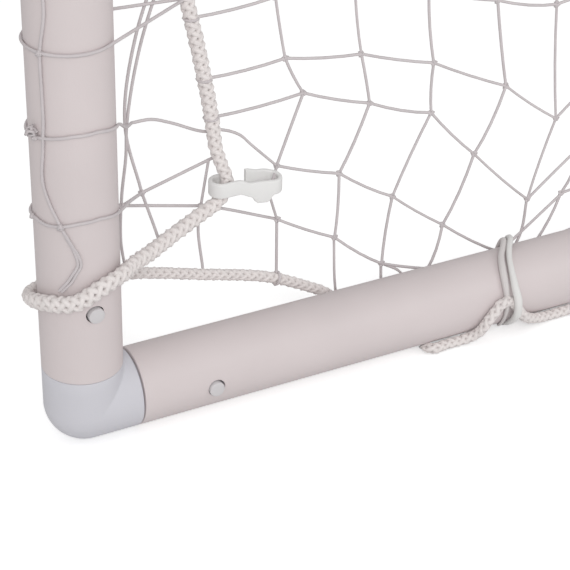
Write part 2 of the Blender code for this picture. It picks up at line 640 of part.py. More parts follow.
def add_net_clips():
    """A strap on edge: one bow hooks round the border rope, the other turns back beside the net."""
    eye_out, eye_back = CLIP_EYE
    outer_arm = eye_out + ROPE_R + 2 * GAP + CLIP_THICK / 2
    middle = outer_arm - CLIP_BOW
    first = eye_back - CLIP_BEFORE_ROPE
    second = first + CLIP_SPAN
    path = []
    for centre, start, turn in ((first, -CLIP_HOOK, CLIP_HOOK), (second, 0.0, math.pi)):
        for k in range(CLIP_STEPS + 1):
            a = start + turn * k / CLIP_STEPS
            path.append(Vector((middle + CLIP_BOW * math.cos(a), centre + CLIP_BOW * math.sin(a))))
    path.append(Vector((middle - CLIP_BOW, second - CLIP_FREE_ARM)))
    for side, sign in SIDES.items():
        rings = []
        for i, at in enumerate(path):
            along = (path[min(i + 1, len(path) - 1)] - path[max(i - 1, 0)]).normalized()
            across = Vector((along.y, -along.x)) * CLIP_THICK / 2
            height = CLIP_HEIGHT - CLIP_SLOPE * (at.y - eye_back)
            low = height - CLIP_TALL / 2
            high = height + CLIP_TALL / 2
            a = at - across
            b = at + across
            ring = ((a, low), (b, low), (b, high), (a, high))
            rings.append([(sign * p.x, p.y, up) for p, up in ring])
        bm = bmesh.new()
        skin_rings(bm, rings, False)
        name = side + "_net_clip"
        add_object(name, finish_mesh(name, bm), CLIP_WHITE, corner(sign), None, FOLDS[side])


add_tubes()
add_elbows()
add_buttons()
add_end_caps()
add_nets()
add_ropes()
add_ties()
add_net_clips()
bpy.context.view_layer.update()
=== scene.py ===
import math

import bmesh
import bpy
from mathutils import Matrix, Vector
from mathutils.kdtree import KDTree


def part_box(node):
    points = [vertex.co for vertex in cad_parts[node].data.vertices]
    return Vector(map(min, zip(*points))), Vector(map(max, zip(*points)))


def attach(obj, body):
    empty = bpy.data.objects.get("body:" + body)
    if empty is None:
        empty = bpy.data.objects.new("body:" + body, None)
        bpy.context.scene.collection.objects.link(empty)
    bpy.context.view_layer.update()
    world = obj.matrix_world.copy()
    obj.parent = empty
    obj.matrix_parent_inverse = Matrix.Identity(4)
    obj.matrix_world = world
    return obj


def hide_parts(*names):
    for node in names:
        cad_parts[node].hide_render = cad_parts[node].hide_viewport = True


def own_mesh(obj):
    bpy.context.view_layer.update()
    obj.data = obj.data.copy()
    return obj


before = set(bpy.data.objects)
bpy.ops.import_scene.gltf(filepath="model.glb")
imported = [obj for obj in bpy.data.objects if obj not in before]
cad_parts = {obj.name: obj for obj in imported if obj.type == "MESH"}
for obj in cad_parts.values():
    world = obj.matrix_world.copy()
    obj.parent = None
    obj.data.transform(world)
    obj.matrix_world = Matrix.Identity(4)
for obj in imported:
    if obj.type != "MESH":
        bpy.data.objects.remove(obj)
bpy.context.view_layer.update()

# Camera
# It looks down from outside at the right bottom corner, where the post, the folding ground bar,
# the elbow and the net's ropes meet. Places near a corner are given outward, rearward and up from
# the middle of its elbow.
post_low, post_high = (Vector(p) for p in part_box("right_post"))
bar_low, bar_high = (Vector(p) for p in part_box("right_side_bar"))
crossbar_low, crossbar_high = (Vector(p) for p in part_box("crossbar"))
tube_r = (post_high.x - post_low.x) / 2
corner = Vector(((post_low.x + post_high.x) / 2, (post_low.y + post_high.y) / 2,
                 (bar_low.z + bar_high.z) / 2))
top_z = (crossbar_low.z + crossbar_high.z) / 2
sides = {"right": 1, "left": -1}


def near(sign, outward=0.0, rearward=0.0, up=0.0):
    return Vector((sign * (corner.x + outward), corner.y + rearward, corner.z + up))


camera = bpy.data.objects.new("photo_camera", bpy.data.cameras.new("photo_camera"))
bpy.context.collection.objects.link(camera)
camera.data.lens = 119.318
camera.data.sensor_width = 36
across = Vector((0.46147, 0.88689, 0.02192))
upward = Vector((-0.48131, 0.22953, 0.84597))
towards = Vector((0.74525, -0.40094, 0.53279))
camera.matrix_world = (Matrix.Translation(near(1, 1.07003, -0.40916, 0.81871))
                       @ Matrix((across, upward, towards)).transposed().to_4x4())
bpy.context.scene.camera = camera

# Border ropes and ground ropes
# Braided cord of about 9 mm, six plump strands over a core. It comes down beside each post, leaves
# it for the net, loops round the post over the button, runs down the bar's inner side to the ground,
# passes under the bar, pressed flat, and lies along its outer side to the end cap.
rope_r = 0.0046
strand_r = 0.00205
braid_r = 0.00225
braid_lift = 0.0004
braid_pitch = 0.0210
rope_step = 0.0016
bar_ties = (0.362, 0.770)
tie_reach = 0.012
under_the_bar = (0.25, 0.32)
# Heights above the corner, and how much wider than round the border rope lies there: flat on the post and
# the diagonal
border_widths = [
    (-1.0, 0.95), (0.0, 1.0), (0.03, 1.1), (0.084, 1.1), (0.098, 1.7), (0.1045, 1.85), (0.116, 1.75),
    (0.119, 1.65), (0.125, 1.6), (0.143, 1.25), (0.16, 1.25), (0.19, 1.5), (0.25, 1.5), (0.5, 1.25),
    (0.7, 1.05), (2.0, 1.05),
]
other_width = 1.12


def smooth_line(points, spacing):
    """Evenly spaced points on a smooth curve through the given ones."""
    knots = [Vector(p) for p in points]
    knots = [knots[0] * 2 - knots[1]] + knots + [knots[-1] * 2 - knots[-2]]
    fine = []
    for a, b, c, d in zip(knots, knots[1:], knots[2:], knots[3:]):
        reach = (c - b).length
        leave = ((b - a).normalized() + (c - b).normalized()).normalized() * reach
        arrive = ((c - b).normalized() + (d - c).normalized()).normalized() * reach
        for k in range(24):
            t = k / 24
            fine.append(b * (2 * t**3 - 3 * t**2 + 1) + leave * (t**3 - 2 * t**2 + t)
                        + c * (3 * t**2 - 2 * t**3) + arrive * (t**3 - t**2))
    fine.append(knots[-2])
    run = [0.0]
    for a, b in zip(fine, fine[1:]):
        run.append(run[-1] + (b - a).length)
    count = max(2, round(run[-1] / spacing))
    even = []
    at = 0
    for k in range(count + 1):
        goal = run[-1] * k / count
        while at < len(run) - 2 and run[at + 1] < goal:
            at += 1
        share = (goal - run[at]) / max(run[at + 1] - run[at], 1e-9)
        even.append(fine[at].lerp(fine[at + 1], min(share, 1.0)))
    return even


def quarter(steps):
    """The angles of a quarter turn in even steps."""
    return [math.pi / 2 * k / steps for k in range(steps + 1)]


def read_off(table, at, eased=False):
    """The value at a place, from a table of (place, value) in rising order."""
    for (low, a), (high, b) in zip(table, table[1:]):
        if at <= high:
            t = (at - low) / (high - low)
            return a + (b - a) * (t * t * (3 - 2 * t) if eased else t)
    return table[-1][1]


def line_length(line):
    return sum((b - a).length for a, b in zip(line, line[1:]))


def sideways(line, first):
    """Two directions across a line at each of its points, carried along it without a twist."""
    pairs = []
    side = Vector(first)
    for i in range(len(line)):
        along = (line[min(i + 1, len(line) - 1)] - line[max(i - 1, 0)]).normalized()
        side = (side - along * side.dot(along)).normalized()
        pairs.append((side, along.cross(side)))
    return pairs


def cords_to_mesh(splines, radius, round_steps=1):
    """One mesh of round cords. Each spline is (points, closed, share of the radius)."""
    curve = bpy.data.curves.new("cords", "CURVE")
    curve.dimensions = "3D"
    curve.bevel_depth = radius
    curve.bevel_resolution = round_steps
    curve.use_fill_caps = True
    for points, closed, share in splines:
        spline = curve.splines.new("POLY")
        spline.points.add(len(points) - 1)
        spline.use_cyclic_u = closed
        spline.use_smooth = True
        for i, (point, at) in enumerate(zip(spline.points, points)):
            point.co = (*at, 1.0)
            point.radius = share[i] if isinstance(share, list) else share
    holder = bpy.data.objects.new("cords", curve)
    bpy.context.collection.objects.link(holder)
    mesh = bpy.data.meshes.new_from_object(holder.evaluated_get(bpy.context.evaluated_depsgraph_get()))
    bpy.data.objects.remove(holder, do_unlink=True)
    bpy.data.curves.remove(curve)
    return mesh


def add_piece(node, look, mesh, material, body):
    """A finished mesh as a piece of the goal: the solid it stands for, its finish and what it moves with."""
    mesh.name = f"{node}_{look}"
    piece = bpy.data.objects.new(mesh.name, mesh)
    bpy.context.collection.objects.link(piece)
    mesh.materials.clear()
    mesh.materials.append(material)
    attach(piece, body)
    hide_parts(node)
    return piece


def new_material(name, colour, roughness):
    material = bpy.data.materials.new(name)
    material.use_nodes = True
    nodes = material.node_tree.nodes
    links = material.node_tree.links
    shader = nodes["Principled BSDF"]
    shader.inputs["Base Color"].default_value = (*colour, 1)
    shader.inputs["Roughness"].default_value = roughness
    return material, nodes, links, shader


def surface_noise_group():
    """Shared by all plastics and cords: soft clouds and a fine grain in the piece's own coordinates."""
    group = bpy.data.node_groups.new("surface_noise", "ShaderNodeTree")
    given = group.nodes.new("NodeGroupInput")
    result = group.nodes.new("NodeGroupOutput")
    place = group.nodes.new("ShaderNodeTexCoord")
    for scale, value, detail in (("Cloud Scale", "Clouds", 4), ("Grain Scale", "Grain", 2)):
        group.interface.new_socket(name=scale, in_out="INPUT", socket_type="NodeSocketFloat")
        group.interface.new_socket(name=value, in_out="OUTPUT", socket_type="NodeSocketFloat")
        noise = group.nodes.new("ShaderNodeTexNoise")
        noise.inputs["Detail"].default_value = detail
        group.links.new(place.outputs["Object"], noise.inputs["Vector"])
        group.links.new(given.outputs[scale], noise.inputs["Scale"])
        group.links.new(noise.outputs["Fac"], result.inputs[value])
    return group


surface_noise = surface_noise_group()


def add_noise(nodes, cloud_scale, grain_scale):
    noise = nodes.new("ShaderNodeGroup")
    noise.node_tree = surface_noise
    noise.inputs["Cloud Scale"].default_value = cloud_scale
    noise.inputs["Grain Scale"].default_value = grain_scale
    return noise


def add_bump(nodes, links, noise, shader, strength, depth):
    bump = nodes.new("ShaderNodeBump")
    bump.inputs["Strength"].default_value = strength
    bump.inputs["Distance"].default_value = depth
    links.new(noise.outputs["Grain"], bump.inputs["Height"])
    links.new(bump.outputs["Normal"], shader.inputs["Normal"])


def add_math(tree, operation, first, *others):
    """A Math node; each input after the first is a number or an output."""
    node = tree.nodes.new("ShaderNodeMath")
    node.operation = operation
    tree.links.new(first, node.inputs[0])
    for socket, other in zip(node.inputs[1:], others):
        if isinstance(other, float):
            socket.default_value = other
        else:
            tree.links.new(other, socket)
    return node


def blend_colours(nodes, links, mask, colours, shader):
    """Base Color goes from the first colour to the second with the mask."""
    shade = nodes.new("ShaderNodeMix")
    shade.data_type = "RGBA"
    for number, colour in zip((6, 7), colours):
        shade.inputs[number].default_value = (*colour, 1)
    links.new(mask, shade.inputs[0])
    links.new(shade.outputs[2], shader.inputs["Base Color"])


def fibre_material(name, seen, dark_tone_and_groove_shade, fibre, painted_groove_shade):
    """Soft cord with fine fibres and a cloudy tone; on braided cord the colour is painted darker between the
    strands, as painted shade in the grooves.
    """
    material, nodes, links, shader = new_material(name, seen, 0.85)
    noise = add_noise(nodes, 60, 1 / fibre)
    mask = noise.outputs["Clouds"]
    if painted_groove_shade:
        # The attribute read here sets painted shade in the grooves and the lit colour on the tops of the
        # strands
        depth = nodes.new("ShaderNodeAttribute")
        depth.attribute_name = "painted_lightness"
        uneven = add_math(material.node_tree, "MULTIPLY_ADD", mask, 0.35, -0.17)
        total = add_math(material.node_tree, "ADD", depth.outputs["Fac"], uneven.outputs[0])
        total.use_clamp = True
        mask = total.outputs[0]
    blend_colours(nodes, links, mask, (dark_tone_and_groove_shade, seen), shader)
    add_bump(nodes, links, noise, shader, 0.35, fibre * 0.6)
    shader.inputs["Sheen Weight"].default_value = 0.15
    return material


# Its second colour is painted shade for the grooves between the strands
rope_cord = fibre_material("rope_cord", (0.80, 0.750, 0.735), (0.56, 0.515, 0.505), 0.0011, True)


def press(co, in_ties):
    """Moves a point of a rope to where a ground bar, or a tie on it, presses it."""
    out = abs(abs(co.x) - corner.x)
    if out < 0.026 and co.z < 0.0125 and under_the_bar[0] < co.y - corner.y < under_the_bar[1]:
        room = tube_r - math.sqrt(tube_r**2 - out**2)
        co.z *= min(1.0, room / (2 * rope_r))
    above = co.z - corner.z
    to_tie = min(abs(co.y - corner.y - at + 0.003) for at in bar_ties) / tie_reach
    if in_ties and to_tie < 1 and abs(above) < 0.02:
        r = math.hypot(out, above)
        pressed = tube_r + (r - tube_r) * (1 - 0.38 * math.cos(math.pi / 2 * to_tie) ** 2)
        co.x = math.copysign(corner.x + out * pressed / r, co.x)
        co.z = corner.z + above * pressed / r


def braided_rope(node, line, body, first):
    """Three strands wind each way round the line, over and under each other; the ends are drawn in."""
    pairs = sideways(line, first)
    last = len(line) - 1
    step = line_length(line) / last
    drawn_in = [math.sqrt(max(0.0, 1 - max(0.0, 1 - min(i, last - i) * step / rope_r) ** 2))
                for i in range(last + 1)]
    border = node.endswith("border_rope")
    widths = [read_off(border_widths, point.z - corner.z) if border else other_width for point in line]
    splines = []
    for hand in (1, -1):
        core = [point + u * hand * strand_r * 1.2 * max(0.0, w - 1)
                for point, (u, v), w in zip(line, pairs, widths)]
        splines.append((core, False, [0.2 + 0.9 * d for d in drawn_in]))
        for k in range(3):
            strand = []
            thick = []
            for i, (point, (u, v), w) in enumerate(zip(line, pairs, widths)):
                turn = 2 * math.pi * i * step / braid_pitch
                a = hand * turn + 2 * math.pi * k / 3 + 0.45
                r = (braid_r + hand * braid_lift * math.cos(3 * turn)) * drawn_in[i]
                strand.append(point + (u * math.cos(a) * w + v * math.sin(a) * min(w, 1.0)) * r)
                uneven = 1 + 0.08 * math.cos(3 * turn + hand) + 0.03 * math.sin(0.7 * i + k)
                thick.append((1 + 0.25 * (w - 1)) * uneven)
            splines.append((strand, False, thick))
    mesh = cords_to_mesh(splines, strand_r)
    tree = KDTree(len(line))
    for i, point in enumerate(line):
        tree.insert(point, i)
    tree.balance()
    # How proud each point stands, from the grooves at 0 to the tops of the strands at 1; the material paints
    # the low values with painted shade
    painted_lightness = mesh.attributes.new("painted_lightness", "FLOAT", "POINT")
    for vert in mesh.vertices:
        _, i, _ = tree.find(vert.co)
        u, v = pairs[i]
        offset = vert.co - line[i]
        away = math.hypot(offset.dot(u) / widths[i], offset.dot(v))
        painted_lightness.data[vert.index].value = min(1.0, max(0.0, (away - 0.0028) / (rope_r - 0.0034)))
        press(vert.co, node.endswith("ground_rope"))
    return add_piece(node, "braid", mesh, rope_cord, body)


on_ground = 0.0050 - corner.z
beside = 0.03495
down_the_post = [
    (-0.0248, 0.0248, 1.140), (-0.0248, 0.0248, 1.090), (-0.0250, 0.0280, 1.030),
    (-0.0252, 0.0360, 0.930), (-0.0250, 0.0350, 0.790), (-0.0248, 0.0248, 0.660),
    (-0.0248, 0.0248, 0.620), (-0.0250, 0.0330, 0.560), (-0.0250, 0.0570, 0.450),
    (-0.0248, 0.0850, 0.340), (-0.0245, 0.1060, 0.250), (-0.0240, 0.1165, 0.192),
    (-0.0225, 0.1185, 0.172), (-0.0205, 0.1222, 0.158), (-0.0186, 0.1258, 0.146),
    (-0.0180, 0.1200, 0.131), (-0.0130, 0.1020, 0.1252), (-0.0020, 0.0723, 0.1191),
    (0.0060, 0.0560, 0.1170), (0.0190, 0.0340, 0.1175),
]
# (degrees from the outer side towards the rear, height, how far it stands off the post)
round_the_post = [
    (35, 0.1190, 0.0006), (3, 0.1157, 0.0), (-26, 0.1062, 0.0), (-57, 0.1029, 0.0), (-84, 0.0979, 0.0),
    (-109, 0.0914, 0.0), (-135, 0.0870, 0.0008), (-160, 0.0835, 0.0018), (-180, 0.0815, 0.0025),
]
down_to_the_ground = [
    (-0.0375, 0.030, 0.0772), (-0.0375, 0.0632, 0.0711), (-0.0375, 0.1128, 0.0568),
    (-0.0375, 0.1731, 0.0380), (-0.0375, 0.2091, 0.0191), (-0.0375, 0.2230, 0.0106),
    (-0.0372, 0.2340, 0.0), (-0.0330, 0.2480, -0.0130), (-0.0270, 0.2620, -0.0230),
    (-0.0243, 0.2780, on_ground), (-0.0200, 0.2830, on_ground), (-0.0150, 0.2850, on_ground),
]
# (distance behind a tie, degrees up from the outer side) where the tie lifts the rope off the ground
over_a_tie = [
    (-0.047, -45.4), (-0.0355, -33), (-0.0315, -18), (-0.0275, -5), (-0.0225, 4), (-0.0170, 11.6),
    (-0.0090, 12), (-0.0030, 3), (0.0010, -8), (0.0052, -18), (0.0170, -33), (0.0300, -42),
    (0.0430, -45.4),
]
beside_bar = 0.0243
lifted_r = 0.0352
outside_the_bar = [(0.0150, 0.2850, on_ground), (0.0241, 0.2870, on_ground), (beside_bar, 0.3030, on_ground)]
for at in bar_ties:
    for behind, degrees in over_a_tie:
        a = math.radians(degrees)
        up = max(lifted_r * math.sin(a), on_ground)
        outside_the_bar.append((lifted_r * math.cos(a), at + behind, up))
    outside_the_bar += [(beside_bar, at + 0.08, on_ground), (beside_bar, at + 0.12, on_ground)]
rear_rope = 0.9098
cap_turn = 0.005
post_loop = []
for azimuth, height, extra in round_the_post:
    a = math.radians(azimuth)
    radius = beside + 0.0009 + extra
    post_loop.append((radius * math.cos(a), radius * math.sin(a), height))
behind_the_cap = [(0.0244 - cap_turn + cap_turn * math.cos(a), rear_rope - cap_turn + cap_turn * math.sin(a),
                   on_ground) for a in quarter(4)]
behind_the_cap.append((0.0030, rear_rope, on_ground))
border_line = smooth_line(down_the_post + post_loop + down_to_the_ground, rope_step)
ground_line = smooth_line(outside_the_bar + behind_the_cap, rope_step)
beside_the_post = border_line[:int(1.05 / rope_step)]
for side, sign in sides.items():
    for kind, route, first, lay in (("border", border_line, (0, 1, 0), "hanging"),
                                    ("ground", ground_line, (1, 0, 0), "taut")):
        line = [near(sign, *p) for p in route]
        rope = braided_rope(f"{side}_{kind}_rope", line, side + "_side", first)

# Hem rope and head rope
# The same cord along the foot of the back net, from one ground bar's cap to the other, and along the
# rear of the crossbar, where it dips under the snap buttons.
hem_y = corner.y + rear_rope
hem_reach = corner.x - 0.0003
hem_line = smooth_line([(hem_reach * (k / 6 - 1), hem_y, 0.0050) for k in range(13)], rope_step)
hem_rope = braided_rope("hem_rope", hem_line, "frame", (0, 1, 0))
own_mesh(hem_rope)
bar_seam = 0.0361
bar_button_at = 0.0950
head_angle = math.radians(-10)
end_angle = math.radians(-34)
past_button = corner.x - bar_button_at - 3 * 0.0066
# (outward from the middle, how far it has dipped)
half_head = [(0.0, 0.0), (0.3, 0.0), (0.549, 0.0)]
half_head += [(past_button - 0.08 * (1 - k / 6), k / 6) for k in range(7)]
half_head.append((corner.x - bar_seam, 1.0))
head_route = []
for x, share in [(-x, share) for x, share in reversed(half_head[1:])] + half_head:
    a = head_angle + (end_angle - head_angle) * share
    head_route.append((x, corner.y + beside * math.cos(a), top_z + beside * math.sin(a)))
head_line = smooth_line(head_route, rope_step)
head_rope = braided_rope("head_rope", head_line, "frame", (0, 0, 1))

# Posts, ground bars and crossbar
# Extruded plastic tube of 60 mm, faintly pink white, satin. The cut ends are slightly rounded, and
# each has a hole for the elbow's snap button.
wall = 0.0039
post_seam = 0.0325
end_round = 0.0007
hole_r = 0.0069
post_button_at = 0.0912
gap = 0.0003


def plastic_material(name, colour, roughness, mottle, grain):
    """Satin plastic: faint cloudy shade, slightly uneven gloss and a very fine grain."""
    material, nodes, links, shader = new_material(name, colour, roughness)
    noise = add_noise(nodes, 14, 900)
    shades = [[c * (1 - mottle) for c in colour], [min(1.0, c * (1 + mottle)) for c in colour]]
    blend_colours(nodes, links, noise.outputs["Clouds"], shades, shader)
    gloss = nodes.new("ShaderNodeMapRange")
    gloss.inputs["To Min"].default_value = roughness - 0.06
    gloss.inputs["To Max"].default_value = roughness + 0.06
    links.new(noise.outputs["Clouds"], gloss.inputs["Value"])
    links.new(gloss.outputs["Result"], shader.inputs["Roughness"])
    add_bump(nodes, links, noise, shader, grain, 0.0002)
    return material


tube_plastic = plastic_material("tube_plastic", (0.66, 0.592, 0.592), 0.46, 0.05, 0.25)
elbow_plastic = plastic_material("elbow_plastic", (0.61, 0.603, 0.645), 0.40, 0.04, 0.2)


def spin_profile(bm, profile, steps=96, closed=True):
    """Turns a line of (radius, height) about Z."""
    verts = [bm.verts.new((r, 0, z)) for r, z in profile]
    edges = [bm.edges.new(pair) for pair in zip(verts, verts[1:])]
    if closed:
        edges.append(bm.edges.new((verts[-1], verts[0])))
    bmesh.ops.spin(bm, geom=verts + edges, axis=(0, 0, 1), cent=(0, 0, 0), angle=2 * math.pi, steps=steps,
                   use_merge=True)
    bmesh.ops.remove_doubles(bm, verts=bm.verts, dist=1e-6)


def finish(bm, smooth_under=40):
    bmesh.ops.recalc_face_normals(bm, faces=bm.faces)
    mesh = bpy.data.meshes.new("piece")
    bm.to_mesh(mesh)
    bm.free()
    mesh.shade_smooth()
    mesh.set_sharp_from_angle(angle=math.radians(smooth_under))
    return mesh


def rounded(radius, start, end, bore):
    """Profile of a tube from start to end with rounded rims."""
    inside = radius - end_round
    profile = [(inside + end_round * math.sin(a), start + end_round * (1 - math.cos(a))) for a in quarter(3)]
    profile += [(inside + end_round * math.cos(a), end - end_round * (1 - math.sin(a))) for a in quarter(3)]
    return profile + [(bore, end), (bore, start)]


def drill(mesh, holes, skin_r, depth):
    """Bores holes into a round skin, each given as (place on its axis, direction)."""
    bm = bmesh.new()
    for place, direction in holes:
        middle = Matrix.Translation(Vector(place) + Vector(direction) * skin_r)
        turn = Vector(direction).to_track_quat("Z", "Y").to_matrix().to_4x4()
        bmesh.ops.create_cone(bm, cap_ends=True, segments=48, radius1=hole_r, radius2=hole_r, depth=depth,
                              matrix=middle @ turn)
    bit = bpy.data.meshes.new("drill")
    bm.to_mesh(bit)
    bm.free()
    cutter = bpy.data.objects.new("drill", bit)
    blank = bpy.data.objects.new("blank", mesh)
    for obj in (cutter, blank):
        bpy.context.collection.objects.link(obj)
    cut = blank.modifiers.new("holes", "BOOLEAN")
    cut.object = cutter
    drilled = bpy.data.meshes.new_from_object(blank.evaluated_get(bpy.context.evaluated_depsgraph_get()))
    for obj in (cutter, blank):
        bpy.data.objects.remove(obj, do_unlink=True)
    return drilled


def tube_piece(node, start, end, holes, place, body, slack=0.0, lean=0.0):
    """A tube along Z from start to end, drilled at (height, direction), then set in its place. It stands off
    the elbow at its start by the slack, and by the lean more at its top."""
    bm = bmesh.new()
    spin_profile(bm, rounded(tube_r, start, end, tube_r - wall))
    for vert in bm.verts:
        if abs(vert.co.z - start) < 0.002:
            vert.co.z += slack + lean * (0.5 + 0.5 * vert.co.y / tube_r)
    drilled = drill(finish(bm), [((0, 0, height), direction) for height, direction in holes], tube_r, 0.012)
    # The tube's skin keeps its roundness right up to the holes
    normals = []
    loop_normals = [Vector(n.vector) for n in drilled.corner_normals]
    for polygon in drilled.polygons:
        middle = Vector((polygon.center.x, polygon.center.y, 0))
        skin = polygon.normal.dot(middle.normalized()) > 0.98 and middle.length > tube_r * 0.99
        for loop in polygon.loop_indices:
            at = drilled.vertices[drilled.loops[loop].vertex_index].co
            if skin and math.hypot(at.x, at.y) > tube_r * 0.999:
                normals.append(Vector((at.x, at.y, 0)).normalized())
            else:
                normals.append(loop_normals[loop])
    drilled.normals_split_custom_set(normals)
    drilled.transform(place)
    add_piece(node, "tube", drilled, tube_plastic, body)


post_top = top_z - corner.z - post_seam
bar_end = 0.90
along_bar = Matrix(((1, 0, 0), (0, 0, 1), (0, 1, 0))).to_4x4()
for side, sign in sides.items():
    tube_piece(side + "_post", post_seam + gap, post_top - gap,
               [(post_button_at, (sign, 0, 0)), (top_z - corner.z - post_button_at, (0, 1, 0))],
               Matrix.Translation(near(sign)), "frame")
    tube_piece(side + "_side_bar", bar_seam + gap, bar_end, [(bar_button_at, (sign, -0.035, 0))],
               Matrix.Translation(near(sign)) @ along_bar, side + "_side", 0.0003, 0.0012)
half_crossbar = corner.x - bar_seam - gap
along_crossbar = Matrix(((0, 0, 1), (0, 1, 0), (1, 0, 0))).to_4x4()
tube_piece("crossbar", -half_crossbar, half_crossbar,
           [(corner.x - bar_button_at, (0, 1, 0)), (bar_button_at - corner.x, (0, 1, 0))],
           Matrix.Translation((0, corner.y, top_z)) @ along_crossbar, "frame")

# Elbows
# Moulded plastic, cooler white than the tubes. Two short legs flush with the tubes meet in a soft
# crease inside and a ball-shaped heel outside, and a spigot runs into each tube.
spigot_r = 0.0254
spigot_bore = 0.0216
spigot_past_seam = 0.0750
crease_r = 0.0032
bar_drop = 0.0010  # the bars' buttons sit this much lower


def elbow_mesh():
    """Legs run along +Z and +Y. Each leg's rings come down to the mitre inside and to the ball outside."""
    bm = bmesh.new()
    rim = post_seam - end_round
    bmesh.ops.create_circle(bm, segments=96, radius=tube_r, matrix=Matrix.Translation((0, 0, rim)))
    ring = bm.edges[:]
    pushed = []
    for step in range(6):
        grown = bmesh.ops.extrude_edge_only(bm, edges=ring)["geom"]
        ring = [g for g in grown if isinstance(g, bmesh.types.BMEdge)]
        for vert in {v for e in ring for v in e.verts}:
            x, y = vert.co.x, max(vert.co.y, 0.0)
            # The inside corner is rounded with less and less radius towards the sides
            meet = math.acos(min(1.0, (x / tube_r) ** 2)) if y > 0 else 0.0
            fillet = max(0.0005, min(0.5 * (rim - y), crease_r * math.tan(meet / 2)))
            low = y + fillet
            vert.co.z = (rim + (low - rim) * 0.35, rim + (low - rim) * 0.7, low,
                         y + fillet * 0.62, y + fillet * 0.3, y)[step]
            if step > 2 and y > 1e-6:
                full = fillet / math.tan(meet / 2) * (1 / math.cos(meet / 2) - 1)
                fullness = full * (0.09, 0.4, 1.0)[step - 3]
                pushed.append((vert, Vector((2 * x, y, y)).normalized() * fullness))
    for vert, push in pushed:
        vert.co += push
    twin = bmesh.ops.duplicate(bm, geom=bm.verts[:] + bm.edges[:] + bm.faces[:])["geom"]
    swap = Matrix(((1, 0, 0), (0, 0, 1), (0, 1, 0))).to_4x4()
    bmesh.ops.transform(bm, matrix=swap, verts=[g for g in twin if isinstance(g, bmesh.types.BMVert)])
    bmesh.ops.remove_doubles(bm, verts=bm.verts, dist=1e-6)
    heel = [e for e in bm.edges
            if e.is_boundary and all(abs(v.co.z) < 1e-6 and v.co.y < 1e-6 for v in e.verts)]
    arc = list({v for e in heel for v in e.verts})
    bmesh.ops.spin(bm, geom=arc + heel, axis=(1, 0, 0), cent=(0, 0, 0), angle=math.pi / 2, steps=24)
    bmesh.ops.remove_doubles(bm, verts=bm.verts, dist=1e-6)
    for way, seam in ((Matrix(), post_seam), (swap, bar_seam)):
        loop = [e for e in bm.edges
                if e.is_boundary and all(abs((way @ v.co).z - rim) < 1e-6 for v in e.verts)]
        tip = seam + spigot_past_seam
        for radius, height in ((tube_r, seam - end_round), (tube_r - end_round * 0.3, seam - end_round * 0.3),
                               (tube_r - end_round, seam), (spigot_r, seam), (spigot_r, tip),
                               (spigot_bore, tip), (spigot_bore, seam - 0.01)):
            if radius == tube_r and height <= rim:
                continue
            grown = bmesh.ops.extrude_edge_only(bm, edges=loop)["geom"]
            loop = [g for g in grown if isinstance(g, bmesh.types.BMEdge)]
            for vert in {v for e in loop for v in e.verts}:
                at = way @ vert.co
                flat = Vector((at.x, at.y)).normalized() * radius
                vert.co = way @ Vector((flat.x, flat.y, height))
        bmesh.ops.contextual_create(bm, geom=loop)
    return finish(bm, 50)


up_leg = (0, 0, post_button_at)
for side, sign in sides.items():
    # The buttons reach through holes in the spigots; the upright spigot has a second one for the folded bar
    mesh = drill(elbow_mesh(), [(up_leg, (sign, 0, 0)), (up_leg, (0, -1, 0)),
                                ((0, bar_button_at, -bar_drop), (sign, 0, 0))], spigot_r, 0.014)
    mesh.transform(Matrix.Translation(near(sign)))
    add_piece(side + "_bottom_elbow", "shell", mesh, elbow_plastic, side + "_side")
    mesh = drill(elbow_mesh(), [(leg, (way, 0, 0)) for leg in (up_leg, (0, bar_button_at, 0))
                                for way in (-1, 1)], spigot_r, 0.014)
    turn = Matrix(((0, -sign, 0), (-sign, 0, 0), (0, 0, -1))).to_4x4()
    mesh.transform(Matrix.Translation((sign * corner.x, corner.y, top_z)) @ turn)
    add_piece(side + "_top_elbow", "shell", mesh, elbow_plastic, "frame")

# Snap buttons
# Round moulded buttons, slightly crowned, that stand 3 mm proud of the tubes. A little play in each
# hole leaves a dark crescent beside the button.
button_r = 0.0060
button_top = tube_r + 0.0028
button_edge = 0.0014
button_crown = 0.0010
button_plastic = plastic_material("button_plastic", (0.62, 0.60, 0.61), 0.35, 0.03, 0.1)


def button_mesh(inner):
    bm = bmesh.new()
    edge = button_top - button_edge
    profile = [(0.0, inner), (button_r - 0.0004, inner), (button_r, inner + 0.0004)]
    profile += [(button_r - button_crown * (1 - math.cos(a)), edge + button_crown * math.sin(a))
                for a in quarter(4)]
    profile += [(button_r * 0.55, button_top - 0.0001), (0.0, button_top)]
    spin_profile(bm, profile, 48, False)
    return finish(bm)


for side, sign in sides.items():
    top = Vector((sign * corner.x, corner.y, top_z))
    for key, at, leg, outward, distance, back_play, side_play in (
            ("post_foot", near(sign), (0, 0, 1), (sign, 0, 0), post_button_at, 0.0005, 0.0005),
            ("bar", near(sign, 0, 0, -bar_drop), (0, 1, 0), (sign, 0, 0), bar_button_at, 0.0004, 0.0003),
            ("post_head", top, (0, 0, -1), (0, 1, 0), post_button_at, 0.0003, 0.0003),
            ("crossbar", top, (-sign, 0, 0), (0, 1, 0), bar_button_at, 0.0003, 0.0003)):
        leg = Vector(leg)
        outward = Vector(outward)
        node = f"{side}_{key}_button"
        mesh = button_mesh(0.0258 if key == "post_foot" else 0.0206)
        # The play is taken up towards the corner and a little to one side
        play = leg * -back_play - outward.cross(leg) * side_play * sign
        turn = Matrix((leg, outward.cross(leg), outward)).transposed().to_4x4()
        mesh.transform(Matrix.Translation(at + leg * distance + play) @ turn)
        add_piece(node, "stud", mesh, button_plastic, node)

